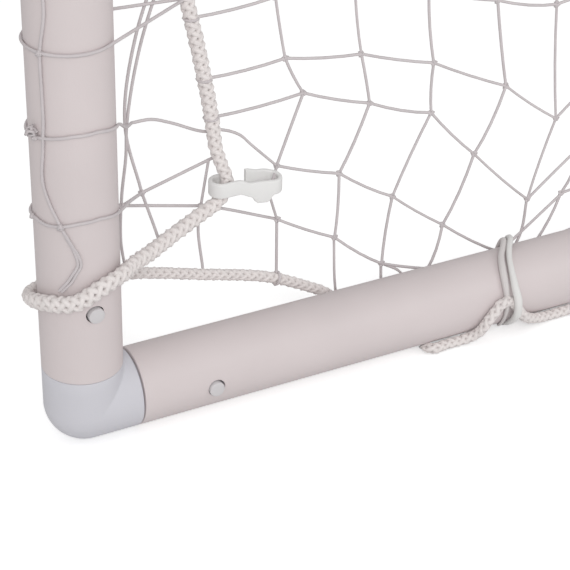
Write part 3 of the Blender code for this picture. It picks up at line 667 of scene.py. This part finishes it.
# Leaf springs
# Bent strips of spring steel inside the spigots, under the buttons; the solids have their shape.
spring_steel, _, _, steel = new_material("spring_steel", (0.55, 0.56, 0.58), 0.3)
steel.inputs["Metallic"].default_value = 1.0
for name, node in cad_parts.items():
    if name.endswith("_spring"):
        for place in node.material_slots:
            place.material = spring_steel

# End caps
# Moulded discs with a rounded rim, pushed into the rear ends of the ground bars.
cap_round = 0.0016
cap_face = 0.0050
plug_r = 0.0255
plug_length = 0.020
for side, sign in sides.items():
    bm = bmesh.new()
    profile = [(0.0, cap_face - 0.0003), (0.016, cap_face - 0.0003), (0.018, cap_face)]
    profile += [(tube_r - cap_round + cap_round * math.sin(a), cap_face - cap_round + cap_round * math.cos(a))
                for a in quarter(4)]
    profile += [(tube_r, 0.0006), (tube_r - 0.0003, gap), (plug_r, gap), (plug_r, 0.001 - plug_length),
                (plug_r - 0.001, -plug_length), (0.0, -plug_length)]
    spin_profile(bm, profile, 96, False)
    mesh = finish(bm)
    mesh.transform(Matrix.Translation(near(sign, 0, bar_end, 0)) @ along_bar)
    mesh.flip_normals()
    add_piece(side + "_end_cap", "disc", mesh, elbow_plastic, side + "_side")

# Ties
# Soft white cord of 4.4 mm, wound twice round a tube and the rope that lies on it. On the ground bars
# the turns lean back over the top, stand up there in two loops, and are pressed flat underneath.
tie_r = 0.0022
flat_tie = 2 * tie_r + 0.0006
mouth_height = 1.22
lap = 0.03
# Its darker colour is painted shade, laid mostly on the turn that lies close to the tube
tie_cord = fibre_material("tie_cord", (0.78, 0.775, 0.76), (0.60, 0.555, 0.55), 0.0008, True)


def tie_piece(node, splines, place, body, shaded_half_lightness=0.85):
    """The second half of the cord may be painted darker, as painted shade from lying close to the tube."""
    mesh = cords_to_mesh(splines, tie_r, 2)
    painted_lightness = mesh.attributes.new("painted_lightness", "FLOAT", "POINT")
    count = len(mesh.vertices)
    painted_lightness.data.foreach_set("value", [0.85 if i < count / 2 else shaded_half_lightness for i in range(count)])
    mesh.transform(place)
    return add_piece(node, "cord", mesh, tie_cord, body)


def plain_tie(rope_angle):
    """Two turns about Z over a rope, crossing on the other side of the tube."""
    points = []
    for k in range(96):
        turn = 4 * math.pi * k / 96
        off = abs((turn + math.pi) % (2 * math.pi) - math.pi)
        over_rope = 0.0099 * math.cos(min(off / 0.9, 1.0) * math.pi / 2) ** 1.3
        over_itself = 1.9 * tie_r * max(0.0, math.sin(turn / 2)) ** 6
        r = tube_r + tie_r + 0.0001 + over_rope + over_itself
        a = rope_angle + turn
        points.append((r * math.cos(a), r * math.sin(a), 0.0026 * math.cos(turn / 2)))
    return [(points, True, 1.0)]


for side, sign in sides.items():
    for k, up in enumerate((0.508, 0.893)):
        tie_piece(f"{side}_post_tie_{k + 1}", plain_tie(math.radians(135 if sign > 0 else 45)),
                  Matrix.Translation(near(sign, 0, 0, up * mouth_height)), side + "_side")
for k, across_at in enumerate((-0.600, 0.0, 0.600)):
    along_y_up = Matrix(((0, 0, 1), (1, 0, 0), (0, 1, 0))).to_4x4()
    tie_piece(f"crossbar_tie_{k + 1}", plain_tie(head_angle),
              Matrix.Translation((across_at, corner.y, top_z)) @ along_y_up, "frame")

# Each place on a turn: degrees up from the outer side, distance behind the tie's middle, distance from the
# axis, share of the cord's radius
bar_turns = [
    (-48, -0.003, 0.0314, 0.6), (-30, -0.0035, 0.0334, 1.1), (-8, -0.0035, 0.0376, 1.5),
    (12, -0.0040, 0.0388, 1.6), (28, -0.0042, 0.0370, 1.45), (50, -0.0016, 0.0342, 1.2),
    (72, 0.0030, 0.0335, 1.1), (90, 0.0095, 0.0350, 1.1), (106, 0.0170, 0.0368, 1.15),
    (125, 0.0215, 0.0352, 1.1), (150, 0.0235, 0.0330, 1.0), (180, 0.0245, 0.0328, 1.0),
    (225, 0.0180, 0.0320, 0.8), (270, 0.0070, 0.0312, 0.5), (312, -0.0085, 0.0313, 0.5),
    (343, -0.0100, 0.0318, 0.7), (368, -0.0102, 0.0325, 1.0), (395, -0.0101, 0.0328, 1.3),
    (417, -0.0078, 0.0328, 1.35), (438, -0.0025, 0.0330, 1.2), (452, 0.0040, 0.0344, 1.15),
    (465, 0.0102, 0.0358, 1.2), (482, 0.0155, 0.0346, 1.1), (510, 0.0190, 0.0330, 1.0),
    (540, 0.0195, 0.0328, 1.0), (585, 0.0150, 0.0320, 0.8), (630, 0.0030, 0.0312, 0.5),
]
bar_turns.append((bar_turns[0][0] + 720, *bar_turns[0][1:]))
turn_shares = [(degrees, share) for degrees, _, _, share in bar_turns]
turns = smooth_line([(math.radians(degrees) * lap, behind, r) for degrees, behind, r, _ in bar_turns], 0.0015)
shares = [read_off(turn_shares, math.degrees(a / lap)) for a, _, _ in turns]
for side, sign in sides.items():
    for k, back in enumerate(bar_ties):
        loop = [Vector((sign * r * math.cos(a / lap), behind, r * math.sin(a / lap)))
                for a, behind, r in turns]
        # The second half of each bar tie is painted much darker: painted shade where it lies close to the
        # tube
        tie = tie_piece(f"{side}_bar_tie_{k + 1}", [(loop[:-1], True, shares[:-1])],
                        Matrix.Translation(near(sign, 0, back, 0)), side + "_side", 0.3)
        for vert in tie.data.vertices:
            across_bar = vert.co.x - sign * corner.x
            above = vert.co.z - corner.z
            r = math.hypot(across_bar, above)
            if above < -0.5 * r:
                room = max(corner.z * r / -above - tube_r, 0.0001)
                if room < flat_tie:
                    pressed = tube_r + (r - tube_r) * room / flat_tie
                    vert.co.x = sign * corner.x + across_bar * pressed / r
                    vert.co.z = corner.z + above * pressed / r

# Net clips
# A moulded white plastic strap on edge, 3 mm thick and 12 mm tall, bent like an S: the first bow holds
# the border rope, the second turns back inside, and a tongue below carries a net twine.
clip_r = 0.0079
clip_out = -0.0199
first_bow = 0.1219
second_bow = 0.1618
clip_thick = 0.0034
clip_tall = 0.012
# Share of the strap's length, and the height of its middle there
clip_heights = [(0.0, 0.1400), (0.36, 0.1405), (0.46, 0.1362), (0.68, 0.1336), (0.79, 0.1342), (0.89, 0.1362),
                (1.0, 0.1392)]
clip_plastic = plastic_material("clip_plastic", (0.78, 0.775, 0.765), 0.45, 0.05, 0.3)

clip_path = []
for k in range(31):
    a = math.radians(-210 + 210 * k / 30)
    clip_path.append(Vector((clip_out + clip_r * math.cos(a), first_bow + clip_r * math.sin(a))))
for k in range(1, 20):
    clip_path.append(Vector((clip_out + clip_r, first_bow + (second_bow - first_bow) * k / 20)))
for k in range(25):
    a = math.radians(180 * k / 24)
    clip_path.append(Vector((clip_out + clip_r * math.cos(a), second_bow + clip_r * math.sin(a))))
for k in range(1, 10):
    clip_path.append(Vector((clip_out - clip_r, second_bow - (second_bow - 0.1453) * k / 9)))


def clip_mesh(sign):
    """The section is a rounded strip; it is drawn out face by face along the strap's line."""
    bm = bmesh.new()
    ring = []
    soft = 0.0013
    for cx, cz, start in ((1, 1, 0), (-1, 1, 90), (-1, -1, 180), (1, -1, 270)):
        for k in range(4):
            a = math.radians(start + 30 * k)
            ring.append((cx * (clip_thick / 2 - soft) + soft * math.cos(a),
                         cz * (clip_tall / 2 - soft) + soft * math.sin(a)))
    runs = [0.0]
    for a, b in zip(clip_path, clip_path[1:]):
        runs.append(runs[-1] + (b - a).length)
    last = len(clip_path) - 1
    stations = [(0, -0.0001, 0.6)] + [(i, 0.0, 1.0) for i in range(last + 1)] + [(last, 0.0001, 0.6)]
    face = bm.faces.new([bm.verts.new((x, 0, z)) for x, z in ring])
    for number, (i, past, size) in enumerate(stations):
        along = (clip_path[min(i + 1, last)] - clip_path[max(i - 1, 0)]).normalized()
        across_strap = Vector((along.y, -along.x))
        middle = read_off(clip_heights, runs[i] / runs[-1], True)
        on_arm = abs(across_strap.x) > 0.99 and clip_path[i].x > clip_out
        tongue = max(0.0, 1 - abs(clip_path[i].y - 0.1520) / 0.0085) if on_arm else 0.0
        drop = 0.0060 * min(1.0, tongue * 2.2) ** 0.7
        if number:
            face = bmesh.ops.extrude_discrete_faces(bm, faces=[face])["faces"][0]
        for vert, (x, z) in zip(face.verts, ring):
            at = clip_path[i] + along * past + across_strap * x * size
            height = middle + z * size - (drop if z < 0 else 0.0)
            vert.co = near(sign, at.x, at.y, height)
    return finish(bm, 50)


for side, sign in sides.items():
    add_piece(side + "_net_clip", "strap", clip_mesh(sign), clip_plastic, side + "_side")

# Side nets
# Knotted twine of about 2 mm in square meshes of 60 mm. The front edge is hitched to the border rope,
# the rear edge to a cord along the back net, and the lowest twines run down beside the ground bar. The
# ties on the bar pull the meshes down to it.
twine_r = 0.0012
mesh_size = 0.060
net_out = -0.0318
twine_cord = fibre_material("twine_cord", (0.66, 0.612, 0.620), (0.52, 0.478, 0.487), 0.0006, False)
back_low, back_high = (Vector(p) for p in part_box("back_net"))
foot_back = back_high.y - corner.y - 0.0015
foot_up = back_low.z - corner.z + 0.001
head_back = back_low.y - corner.y + 0.001
head_up = back_high.z - corner.z - 0.001
net_top = head_up - 0.03


def rear_at(up):
    """How far back the back net is at a height above the corner."""
    return foot_back + (up - foot_up) / (head_up - foot_up) * (head_back - foot_back) - 0.004


def up_at(rearward):
    return foot_up + (rearward + 0.004 - foot_back) / (head_back - foot_back) * (head_up - foot_up)


def border_at(up):
    """The middle of the border rope at a height above the corner."""
    return min(beside_the_post, key=lambda p: abs(p.z - up))


def sway(a, b, size):
    """A small fixed unevenness for mesh (a, b)."""
    return size * math.sin(12.9 * a + 78.2 * b + 1.7 * math.sin(3.1 * a * b))


def slack_twine(a, b, sag=0.0015, bow=0.0, pieces=4):
    """A twine between two knots, hanging a little."""
    points = []
    for k in range(pieces + 1):
        t = k / pieces
        hang = 4 * t * (1 - t)
        points.append(a.lerp(b, t) + Vector((bow * hang, 0, -sag * hang)))
    return (points, False, 1.0)


def knot(at, u, v, size=0.0024):
    """A small closed loop that goes over and under itself, in the plane of u and v."""
    w = u.cross(v)
    ring = []
    for k in range(7):
        a = 2 * math.pi * k / 7
        b = 2 * a * 2
        ring.append(at + (u * math.cos(a) + v * math.sin(a)) * size * (0.75 + 0.25 * math.cos(b))
                    + w * size * 0.45 * math.sin(b))
    return (ring, True, 1.0)


def hitch(at, along, radius):
    """A ring of twine round a rope."""
    along = along.normalized()
    u = along.orthogonal().normalized()
    v = along.cross(u)
    return ([at + (u * math.cos(2 * math.pi * k / 9) + v * math.sin(2 * math.pi * k / 9)) * radius
             for k in range(9)], True, 0.9)


def relax(nominal, fixed, rounds=160):
    """Moves the free knots so that the pull of the fixed ones fades evenly into the net."""
    moved = {key: (fixed[key] - at if key in fixed else Vector((0, 0))) for key, at in nominal.items()}
    for _ in range(rounds):
        for key in moved:
            if key in fixed:
                continue
            c, r = key
            about = [moved[n] for n in ((c - 1, r), (c + 1, r), (c, r - 1), (c, r + 1)) if n in moved]
            missing = 4 - len(about)
            moved[key] = sum(about, Vector((0, 0))) / (len(about) + missing * 0.6)
    return {key: nominal[key] + moved[key] for key in nominal}


seen_knots = {
    (2, 1): (0.1740, 0.1393), (3, 1): (0.2288, 0.1195), (4, 1): (0.2779, 0.0874), (5, 1): (0.3274, 0.0490),
    (6, 1): (0.3850, 0.0085), (7, 1): (0.4424, 0.0508), (5, 2): (0.3512, 0.1090), (6, 2): (0.4076, 0.0541),
    (2, 0): (0.1750, 0.0930), (3, 0): (0.2259, 0.0641), (4, 0): (0.2703, 0.0285), (5, 0): (0.3144, 0.0120),
    (2, 2): (0.1950, 0.1955), (3, 2): (0.2523, 0.1750), (4, 2): (0.3080, 0.1550), (5, 3): (0.3770, 0.1630),
    (6, 3): (0.4280, 0.1240), (7, 0): (0.4200, 0.0100), (8, 0): (0.5060, 0.0250), (6, 0): (0.3960, 0.0060),
}
nominal = {}
for c in range(15):
    for r in range(20):
        at = Vector((0.036 + mesh_size * c, 0.036 + mesh_size * r))
        inside_front = c >= 2 if r <= 3 else at.x > border_at(at.y).y + 0.018
        if inside_front and at.x < rear_at(at.y) - 0.016 and at.y < head_up - 0.05:
            nominal[c, r] = at
fixed = {key: Vector(at) for key, at in seen_knots.items()}
fixed[12, 0] = Vector((0.756, 0.0120))
fixed[13, 0] = Vector((0.789, 0.0150))
side_knots = relax(nominal, fixed)


def side_point(sign, key):
    return near(sign, net_out + sway(*key, 0.0012), *side_knots[key])


# Round the post: (degrees from the outer side towards the rear, height). The net's front edge winds once
# round the post at every mesh, with a wavy twine down the front between the turns.
on_post_r = tube_r + twine_r + 0.0001
front_twines = [
    [(-58, 0.2417), (-61, 0.2211), (-64, 0.1954), (-54.5, 0.1800), (-40.7, 0.1644), (-20.6, 0.1427),
     (-17.3, 0.1337), (-29.6, 0.1208), (-43.4, 0.1117)],
    [(-40.7, 0.1644), (-24.5, 0.1445), (-21.5, 0.1337), (-34, 0.1215), (-47, 0.1122)],
]
low_turn = [(-190, 0.160), (-150, 0.160), (-105, 0.1625), (-95, 0.1630), (-82.4, 0.1640), (-60, 0.1632),
            (-40.7, 0.1644), (-16.3, 0.1672), (10.4, 0.1679), (52.2, 0.1628)]
high_turn = [(-190, 0.226), (-150, 0.227), (-105, 0.227), (-88, 0.2275), (-72.3, 0.2287), (-20.4, 0.2339),
             (11.9, 0.2343), (62.9, 0.2277)]
led_elsewhere = [((2, 0), (2, 1)), ((6, 1), (6, 2)), ((6, 1), (7, 1))]
knot_a = (0.0637, 0.1426)
knot_g = seen_knots[2, 0]
# Twines at the corner; places given by two numbers lie in the net
corner_twines = [
    [knot_a, (-0.0285, 0.1208, 0.1608)],
    [knot_a, (0.0478, 0.1356), (-0.0300, 0.0300, 0.1320)],
    [knot_a, (0.0758, 0.1024), (0.0775, 0.0960)],
    [knot_a, (0.0518, 0.2014), (-0.0300, 0.0600, 0.2650), (-0.0250, 0.0850, 0.3400)],
    [(-0.0250, 0.0870, 0.3330), (-0.0300, 0.0640, 0.2600), (0.0534, 0.2018), (0.0519, 0.1749),
     (0.0480, 0.1447), (0.0462, 0.1065), (-0.0345, 0.0505, 0.0790)],
    [(-0.0285, 0.1159, 0.1602), (0.1110, 0.1202), (-0.0330, 0.1093, 0.1034), (-0.0375, 0.1151, 0.0620)],
    [(-0.0300, 0.0300, 0.1400), (0.0478, 0.1356), (0.1053, 0.1216), (0.1110, 0.1202), knot_g],
    [knot_g, (-0.0375, 0.1787, 0.0410)],
    [seen_knots[3, 0], (-0.0345, 0.2306, 0.0146), (-0.0365, 0.2340, 0.0030)],
    [seen_knots[4, 0], (0.2712, 0.0131), (-0.0270, 0.2720, -0.0240)],
    [seen_knots[4, 0], (0.2908, 0.0126), (-0.0270, 0.2990, -0.0240)],
    [seen_knots[2, 1], (-0.0122, 0.1600, 0.1375)],
    [(-0.0122, 0.1585, 0.1262), knot_g],
    [seen_knots[6, 2], (0.4050, 0.0232), (-0.0300, 0.3977, 0.0100)],
    [seen_knots[7, 1], (0.4050, 0.0232), (-0.0310, 0.3965, 0.0180), (-0.0300, 0.3850, 0.0100)],
    [seen_knots[2, 1], (0.1519, 0.1625), (0.1427, 0.1724), (0.1280, 0.1798), (-0.0305, 0.1135, 0.1822),
     (0.0874, 0.1944), (0.0720, 0.2005), (0.0570, 0.2010)],
]


def with_depth(points):
    return [p if len(p) == 3 else (net_out, *p) for p in points]


def round_post(turn):
    """Points on the post's skin through places given as (degrees, height)."""
    points = []
    for (a, low), (b, high) in zip(turn, turn[1:]):
        count = max(1, round(abs(b - a) / 8))
        for k in range(count):
            t = k / count
            angle = math.radians(a + (b - a) * t)
            points.append((on_post_r * math.cos(angle), on_post_r * math.sin(angle), low + (high - low) * t))
    angle = math.radians(turn[-1][0])
    return points + [(on_post_r * math.cos(angle), on_post_r * math.sin(angle), turn[-1][1])]


def lump(degrees, up, size):
    """A fist of twine: three loops pulled tight over each other."""
    a = math.radians(degrees)
    at = Vector(((on_post_r + size * 0.5) * math.cos(a), (on_post_r + size * 0.5) * math.sin(a), up))
    loops = []
    for u, v in (((1, 0, 0.3), (0, 1, 0)), ((0, 0.3, 1), (1, 0, 0)), ((0.5, 1, 0), (0, 0.2, 1))):
        u = Vector(u).normalized()
        v = (Vector(v) - u * u.dot(Vector(v))).normalized()
        points, _, _ = knot(at, u, v, size)
        loops.append([tuple(p) for p in points])
    return loops


def post_twines():
    """All that the side net has round its post, in the right corner's own measures."""
    lines = [smooth_line(with_depth(points), 0.0025) for points in corner_twines]
    lines += [smooth_line(round_post(turn), 0.0025) for turn in front_twines]
    low_end = with_depth([(-0.0060, 0.0440, 0.1540), knot_a])
    high_end = with_depth([(-0.0150, 0.0460, 0.2080), (0.0570, 0.2010)])
    lines.append(smooth_line([(-0.0300, 0.0200, 0.1640)] + round_post(low_turn) + low_end, 0.003))
    lines.append(smooth_line([(-0.0305, 0.0350, 0.2200)] + round_post(high_turn) + high_end, 0.003))
    loops = lump(-76, 0.2330, 0.0042) + lump(-90, 0.1636, 0.0013) + lump(-40.7, 0.1644, 0.0019)
    loops += lump(-72, 0.2288, 0.0017)
    column = [(-58, 0.2417)]
    for k in range(13):
        up = 0.2925 + 0.0635 * k
        rope_at = border_at(up)
        towards_rope = math.degrees(math.atan2(rope_at.y, rope_at.x))
        leave = math.degrees(math.acos(on_post_r / math.hypot(rope_at.x, rope_at.y)))
        dip = 0.004 * math.sin(2.3 * k)
        ends = (towards_rope - leave, towards_rope - 360 + leave)
        turn = round_post([(ends[0], up), (-58, up + dip), (ends[1], up)])
        lines.append([rope_at] + [Vector(p) for p in turn] + [rope_at])
        loops += lump(-58, up + dip, 0.0018)
        column += [(-58 + 9 * math.sin(1.9 * k), up - 0.032), (-58, up + dip)]
    lines.append(smooth_line(round_post(column), 0.003))
    return lines, loops


post_lines, post_loops = post_twines()
for side, sign in sides.items():
    splines = [([near(sign, *p) for p in line], False, 1.0) for line in post_lines]
    splines += [([near(sign, *p) for p in loop], True, 1.0) for loop in post_loops]
    for at in (knot_a, (0.1110, 0.1202), (0.0478, 0.1356)):
        splines.append(knot(near(sign, net_out, *at), Vector((0, 1, 0)), Vector((0, 0, 1))))
    splines.append(hitch(near(sign, -0.0375, 0.1787, 0.0356), Vector((0, 1, -0.4)), rope_r + 0.0008))
    out = Vector((0, 1, 0))
    up_way = Vector((0, 0, 1))
    for key in side_knots:
        c, r = key
        here = side_point(sign, key)
        spread = sway(c, r, 0.5)
        splines.append(knot(here, out * math.cos(spread) + up_way * math.sin(spread),
                            up_way * math.cos(spread) - out * math.sin(spread)))
        back, up = side_knots[key]
        for other in ((c + 1, r), (c, r + 1)):
            if other in side_knots and (key, other) not in led_elsewhere:
                splines.append(slack_twine(here, side_point(sign, other), bow=sway(r, c, 0.002)))
        if (c + 1, r) not in side_knots:
            splines.append(slack_twine(here, near(sign, net_out, rear_at(up), up)))
        if (c, r + 1) not in side_knots:
            splines.append(slack_twine(here, near(sign, net_out, back, min(up_at(back), net_top))))
        if (c - 1, r) not in side_knots and r >= 2:
            rope_at = near(sign, -0.0250, border_at(up).y, up)
            splines.append(slack_twine(here, rope_at))
            splines.append(hitch(rope_at, up_way, rope_r + 0.0006))
        if r == 0 and c > 7:
            splines.append(slack_twine(here, near(sign, -0.0265, back + 0.004, -0.024), 0, sign * -0.002))
    heights = [foot_up + (net_top - foot_up) * k / 40 for k in range(41)]
    splines.append(([near(sign, net_out, rear_at(up), up) for up in heights], False, 1.5))
    mesh = cords_to_mesh(splines, twine_r)
    add_piece(side + "_side_net", "twine", mesh, twine_cord, side + "_side")

# Back net
# The same twine and mesh, laced to the head rope and the hem rope. It slopes from the crossbar to the
# ground and sags a little between them.
foot = Vector((0, corner.y + foot_back + 0.001, corner.z + foot_up))
head = Vector((0, corner.y + beside * math.cos(head_angle), top_z + beside * math.sin(head_angle)))
slope = head - foot
rise = slope.normalized()
net_half = corner.x + net_out + 0.0005
columns = 31
rows = 25
splines = []


def back_point(i, j):
    # Near the upper post ties its edges stand in a little, clear of them
    pulled_in = 0.0075 * max(0.0, 1 - abs(j - 22.5) / 2.5)
    x = (i / columns * 2 - 1) * (net_half - pulled_in)
    sag = 0.0
    if 0 < j < rows:
        sag = 0.022 * math.sin(math.pi * i / columns) * math.sin(math.pi * j / rows) ** 0.7
    inner = 0 < i < columns and 0 < j < rows
    shift = Vector((sway(i, j, 0.004), 0, 0)) + rise * sway(j, i, 0.004) if inner else Vector()
    return foot + slope * (j / rows) + Vector((x, 0, 0)) + shift + Vector((0, -rise.z, rise.y)) * sag


for i in range(columns + 1):
    for j in range(rows + 1):
        here = back_point(i, j)
        if 0 < i < columns and 0 < j < rows:
            splines.append(knot(here, Vector((1, 0, 0)), rise))
        if i < columns and 0 < j < rows:
            splines.append(slack_twine(here, back_point(i + 1, j), 0.002, pieces=3))
        if j < rows and 0 < i < columns:
            splines.append(slack_twine(here, back_point(i, j + 1), 0.001, pieces=3))
    if 0 < i < columns:
        splines.append(hitch(Vector((back_point(i, 0).x, hem_y, 0.0058)), Vector((1, 0, 0)), rope_r + 0.0004))
        splines.append(hitch(back_point(i, rows), Vector((1, 0, 0)), rope_r + 0.0004))
for i in (0, columns):
    splines.append(([back_point(i, j) for j in range(rows + 1)], False, 1.5))
back_net = add_piece("back_net", "twine", cords_to_mesh(splines, twine_r), twine_cord, "frame")
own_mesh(back_net)

# Floor, light and world
# A plain white floor and backdrop. The light is broad and comes from the camera's side, low enough
# that the tops of the bars stay darker than their sides.


def seen_directly(tree):
    """1 for what the camera sees, also through something clear, and 0 for the rest of the light."""
    path = tree.nodes.new("ShaderNodeLightPath")
    seen = add_math(tree, "MAXIMUM", path.outputs["Is Camera Ray"], path.outputs["Is Transmission Ray"])
    return seen.outputs[0]


floor = bpy.data.meshes.new("floor")
bm = bmesh.new()
bmesh.ops.create_grid(bm, x_segments=1, y_segments=1, size=30)
bm.to_mesh(floor)
bm.free()
floor = bpy.data.objects.new("floor", floor)
bpy.context.collection.objects.link(floor)
floor.location.z = -0.0002
floor_paint, nodes, links, shader = new_material("floor_paint", (0.82, 0.82, 0.82), 0.9)
strength = add_math(floor_paint.node_tree, "MULTIPLY", seen_directly(floor_paint.node_tree), 0.45)
links.new(strength.outputs[0], shader.inputs["Emission Strength"])
shader.inputs["Emission Color"].default_value = (1, 1, 1, 1)
shader.inputs["Specular IOR Level"].default_value = 0.0
floor.data.materials.append(floor_paint)

world = bpy.data.worlds.new("studio")
bpy.context.scene.world = world
world.use_nodes = True
tree = world.node_tree
sky = tree.nodes["Background"]
sky.inputs["Color"].default_value = (1, 1, 1, 1)
fill = tree.nodes.new("ShaderNodeMapRange")
fill.inputs["To Min"].default_value = 0.62
fill.inputs["To Max"].default_value = 1.0
tree.links.new(seen_directly(tree), fill.inputs["Value"])
tree.links.new(fill.outputs["Result"], sky.inputs["Strength"])


def area_lamp(name, at, aim, size, watts):
    lamp = bpy.data.lights.new(name, "AREA")
    lamp.shape = "DISK"
    lamp.size = size
    lamp.energy = watts
    obj = bpy.data.objects.new(name, lamp)
    bpy.context.collection.objects.link(obj)
    obj.location = at
    obj.rotation_euler = (Vector(aim) - Vector(at)).to_track_quat("-Z", "Y").to_euler()


area_lamp("key", near(1, 3.9, -1.5, 2.8), near(1, 0, 0.15, 0), 2.0, 88)
area_lamp("rear_fill", near(1, 0.8, 0.95, 0.75), near(1, 0, 0.45, 0), 0.7, 1.6)

bpy.context.scene.view_settings.view_transform = "Standard"
